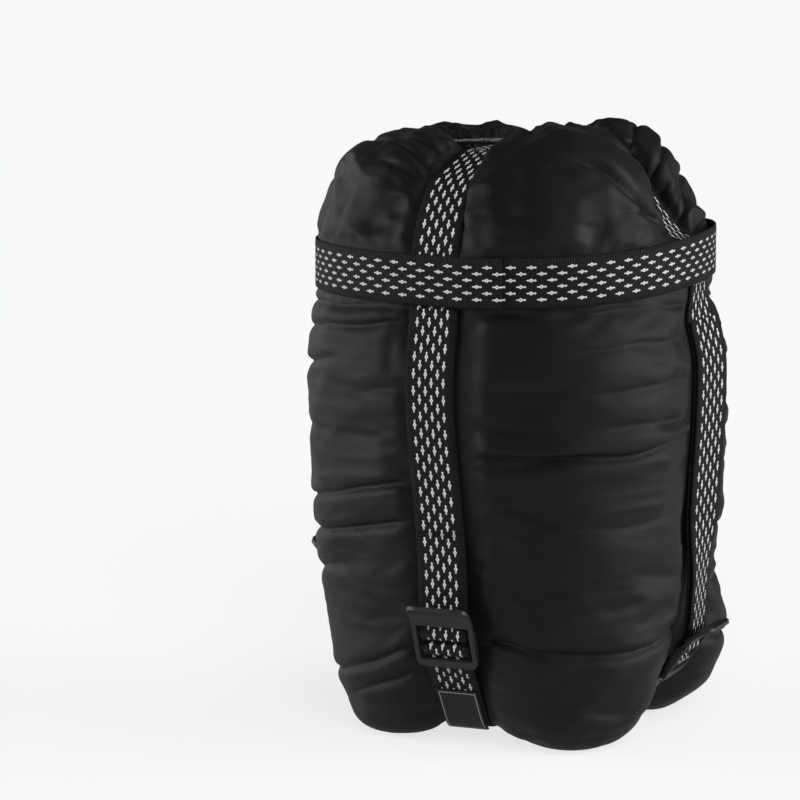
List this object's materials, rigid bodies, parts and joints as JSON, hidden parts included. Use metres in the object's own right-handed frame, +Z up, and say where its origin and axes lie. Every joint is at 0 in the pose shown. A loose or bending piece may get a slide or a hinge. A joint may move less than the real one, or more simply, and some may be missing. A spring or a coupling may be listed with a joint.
{
  "type": "compression sack",
  "caption": "Round fabric compression sack, packed full and drawn down by webbing straps with ladder lock buckles, a webbing band and a drawcord mouth.",
  "frame": {"origin": "middle of the base, on the surface that the sack stands on", "axes": "+Z up along the sack, -Y to the front strap with the label, +X to the right-hand strap"},
  "size_m": [0.2103, 0.2032, 0.298],
  "materials": {
    "nylon": "black nylon taffeta with a satin sheen",
    "webbing": "black woven polypropylene webbing with rows of small white reflective marks",
    "buckle_plastic": "moulded black acetal, satin",
    "lock_plastic": "moulded black acetal, satin",
    "cord": "black braided cord",
    "filling": "soft packed wadding, hidden",
    "label": "black woven label with a fine light border",
    "spring": "plain steel"
  },
  "bodies": {
    "base": {"base_panel": "nylon", "side_wall": "nylon", "lower_filling": "filling", "base_strap_a": "webbing", "base_strap_b": "webbing", "woven_label": "label", "strap_lower_1": "webbing", "strap_lower_2": "webbing", "strap_lower_3": "webbing", "strap_lower_4": "webbing", "tail_1": "webbing", "tail_2": "webbing", "tail_3": "webbing", "tail_4": "webbing"},
    "band": {"band": "webbing", "hood": "nylon", "strap_upper_1": "webbing", "strap_upper_2": "webbing", "strap_upper_3": "webbing", "strap_upper_4": "webbing"},
    "top": {"upper_filling": "filling", "cross_strap_a": "webbing", "cross_strap_b": "webbing", "mouth_hem": "nylon", "drawcord": "cord", "cord_lock_body": "lock_plastic", "cord_lock_spring": "spring"},
    "button": {"cord_lock_button": "lock_plastic"},
    "buckle_1": {"buckle_1": "buckle_plastic", "anchor_loop_1": "webbing", "strap_bend_1": "webbing"},
    "buckle_2": {"buckle_2": "buckle_plastic", "anchor_loop_2": "webbing", "strap_bend_2": "webbing"},
    "buckle_3": {"buckle_3": "buckle_plastic", "anchor_loop_3": "webbing", "strap_bend_3": "webbing"},
    "buckle_4": {"buckle_4": "buckle_plastic", "anchor_loop_4": "webbing", "strap_bend_4": "webbing"}
  },
  "joints": [
    {"name": "compress_lower", "type": "slide", "parent": "base", "child": "band", "axis": [0, 0, 1], "range_m": [0, 0.04], "deforming": ["side_wall", "strap_lower_1", "strap_lower_2", "strap_lower_3", "strap_lower_4", "tail_1", "tail_2", "tail_3", "tail_4"]},
    {"name": "compress_upper", "type": "slide", "parent": "band", "child": "top", "axis": [0, 0, 1], "range_m": [0, 0.04], "deforming": ["hood", "strap_upper_1", "strap_upper_2", "strap_upper_3", "strap_upper_4"]},
    {"name": "lock_button", "type": "slide", "parent": "top", "child": "button", "axis": [0, 0, -1], "range_m": [0, 0.0025], "stiffness_N_per_m": 300, "springref_m": -0.002, "deforming": ["cord_lock_spring"]},
    {"name": "buckle_1_lift", "type": "hinge", "parent": "base", "child": "buckle_1", "pos_m": [0, -0.08418, 0.043], "axis": [1, 0, 0], "range_deg": [0, 40], "stiffness_Nm_per_rad": 0.02, "springref_deg": -14.32},
    {"name": "buckle_2_lift", "type": "hinge", "parent": "base", "child": "buckle_2", "pos_m": [0.07864, 0, 0.029], "axis": [0, 1, 0], "range_deg": [0, 40], "stiffness_Nm_per_rad": 0.02, "springref_deg": -14.32},
    {"name": "buckle_3_lift", "type": "hinge", "parent": "base", "child": "buckle_3", "pos_m": [0, 0.08418, 0.043], "axis": [-1, 0, 0], "range_deg": [0, 40], "stiffness_Nm_per_rad": 0.02, "springref_deg": -14.32},
    {"name": "buckle_4_lift", "type": "hinge", "parent": "base", "child": "buckle_4", "pos_m": [-0.08668, 0, 0.05], "axis": [0, -1, 0], "range_deg": [0, 40], "stiffness_Nm_per_rad": 0.02, "springref_deg": -14.32}
  ],
  "couplings": [
    {"joint": "compress_upper", "follows": "compress_lower", "ratio": 1}
  ]
}
